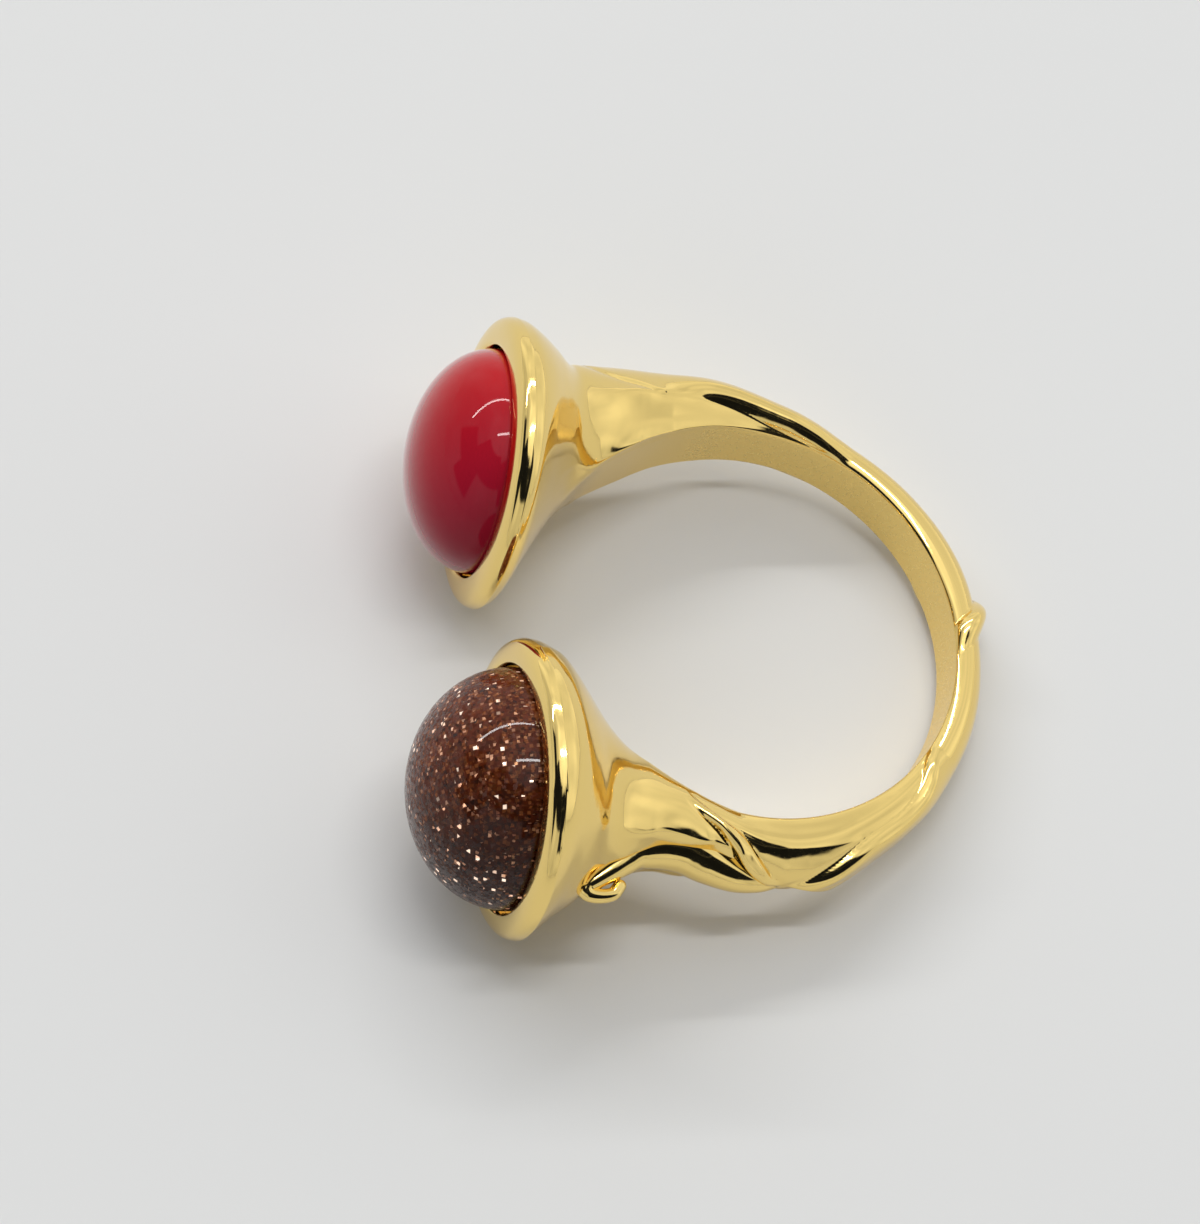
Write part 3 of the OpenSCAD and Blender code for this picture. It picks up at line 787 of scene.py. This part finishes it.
def tube_lamp(name, middle, length, width, power):
    """A long narrow lamp lying parallel to X, turned to face the ring."""
    light = bpy.data.lights.new(name, "AREA")
    light.shape = "RECTANGLE"
    light.size, light.size_y, light.energy = length, width, power
    lamp = bpy.data.objects.new(name, light)
    back = Vector(middle).normalized()
    up = back.cross(Vector((1, 0, 0))).normalized()
    lamp.matrix_world = Matrix((up.cross(back), up, back)).transposed().to_4x4()
    lamp.location = middle
    bpy.context.collection.objects.link(lamp)


for columns in LAMPS:
    tube_lamp(*columns)

# What the gold mirrors of the room. The dark parts are a wide window with a step up at each
# end, the dark wall to the left of it and two low patches where that wall ends. Columns: first
# and last azimuth, lowest and highest elevation, in degrees. The brighter side has the same
# columns, and the ceiling over the ring has the last two.
DARK_PARTS = ((-92, -20, 18, 53), (-50, -17, 51, 68), (-92, -48, 51, 63), (-184, -90, 36, 70),
              (-184, -150, 8, 40), (156, 184, 20, 46))
BRIGHT_SIDE = (-17, 120, -20, 66)
CEILING = (66, 114)
# How soft the outlines are, in degrees.
DARK_EDGE, BRIGHT_EDGE, CEILING_EDGE = 2, 6, 6
# The light of the plain side and of the brighter side, what the ceiling adds, the slow
# unevenness that multiplies them, and the colours of the light and of the dark parts.
PLAIN_LIGHT, BRIGHT_LIGHT, CEILING_LIGHT = 0.70, 0.95, 0.6
UNEVEN_SCALE, UNEVEN_LEAST, UNEVEN_MOST = 2.6, 0.78, 1.16
LIGHT_COLOUR, DARK_COLOUR = (0.93, 0.94, 0.95, 1), (0.012, 0.014, 0.022, 1)
world = bpy.data.worlds.new("soft_room")
world.use_nodes = True
tree = world.node_tree
room = tree.nodes["Background"]
look = node(tree, "ShaderNodeTexCoord")
parts = node(tree, "ShaderNodeSeparateXYZ")
turn = node(tree, "ShaderNodeMath", operation="ARCTAN2")
rise = node(tree, "ShaderNodeMath", operation="ARCSINE")
link(tree, look, "Generated", parts, "Vector")
link(tree, parts, "Y", turn, 0)
link(tree, parts, "X", turn, 1)
link(tree, parts, "Z", rise, 0)


def window(value, low, high, soft):
    """A mask that is 1 where an angle, in degrees, lies between two limits, and fades to 0."""
    low, high, soft = math.radians(low), math.radians(high), math.radians(soft)
    middle, half = (low + high) / 2, (high - low) / 2
    off = node(tree, "ShaderNodeMath", operation="SUBTRACT")
    off.inputs[1].default_value = middle
    size = node(tree, "ShaderNodeMath", operation="ABSOLUTE")
    fade = node(tree, "ShaderNodeMapRange", interpolation_type="SMOOTHSTEP",
                from_min=half - soft, from_max=half + soft, to_min=1.0, to_max=0.0)
    link(tree, value, 0, off, 0)
    link(tree, off, 0, size, 0)
    link(tree, size, 0, fade, "Value")
    return fade


def patch(left, right, bottom, top, soft):
    """A mask over a patch of the room between two azimuths and two elevations."""
    both = node(tree, "ShaderNodeMath", operation="MULTIPLY")
    link(tree, window(turn, left, right, soft), "Result", both, 0)
    link(tree, window(rise, bottom, top, soft), "Result", both, 1)
    return both


darkness = patch(*DARK_PARTS[0], DARK_EDGE)
for columns in DARK_PARTS[1:]:
    dark = node(tree, "ShaderNodeMath", operation="MAXIMUM")
    link(tree, darkness, 0, dark, 0)
    link(tree, patch(*columns, DARK_EDGE), 0, dark, 1)
    darkness = dark
side_light = node(tree, "ShaderNodeMapRange", to_min=PLAIN_LIGHT, to_max=BRIGHT_LIGHT)
link(tree, patch(*BRIGHT_SIDE, BRIGHT_EDGE), 0, side_light, "Value")
overhead = node(tree, "ShaderNodeMath", operation="MULTIPLY_ADD")
overhead.inputs[1].default_value = CEILING_LIGHT
link(tree, window(rise, *CEILING, CEILING_EDGE), "Result", overhead, 0)
link(tree, side_light, "Result", overhead, 2)
uneven = node(tree, "ShaderNodeTexNoise", scale=UNEVEN_SCALE, detail=1.5)
unevenness = node(tree, "ShaderNodeMapRange", from_min=0.3, from_max=0.7,
                  to_min=UNEVEN_LEAST, to_max=UNEVEN_MOST)
strength = node(tree, "ShaderNodeMath", operation="MULTIPLY")
link(tree, look, "Generated", uneven, "Vector")
link(tree, uneven, "Fac", unevenness, "Value")
link(tree, overhead, 0, strength, 0)
link(tree, unevenness, "Result", strength, 1)
link(tree, strength, 0, room, "Strength")
sky = mixed(tree, "MIX", darkness.outputs[0], LIGHT_COLOUR, DARK_COLOUR)
tree.links.new(sky, room.inputs["Color"])
bpy.context.scene.world = world
bpy.context.scene.view_settings.view_transform = "Standard"

# The camera: the point that it looks at in millimetres, its azimuth, elevation and roll, its
# distance in metres, and its lens and sensor in millimetres.
CAMERA_AIM = Vector((-3.632, 1.492, 3.351)) * MM
AZIMUTH, ELEVATION, ROLL = (math.radians(angle) for angle in (-16.115, 63.634, 12.764))
CAMERA_DISTANCE, LENS, SENSOR = 0.2201, 164.65, 36
camera_data = bpy.data.cameras.new("camera")
camera_data.sensor_width = SENSOR
camera_data.lens = LENS
camera_data.clip_start, camera_data.clip_end = 0.01, 10
camera = bpy.data.objects.new("camera", camera_data)
back = Vector((math.sin(AZIMUTH) * math.cos(ELEVATION),
               -math.cos(AZIMUTH) * math.cos(ELEVATION), math.sin(ELEVATION)))
level = Vector((math.cos(AZIMUTH), math.sin(AZIMUTH), 0))
right = level * math.cos(ROLL) + back.cross(level) * math.sin(ROLL)
camera.matrix_world = Matrix((right, back.cross(right), back)).transposed().to_4x4()
camera.location = CAMERA_AIM + back * CAMERA_DISTANCE
bpy.context.collection.objects.link(camera)
bpy.context.scene.camera = camera
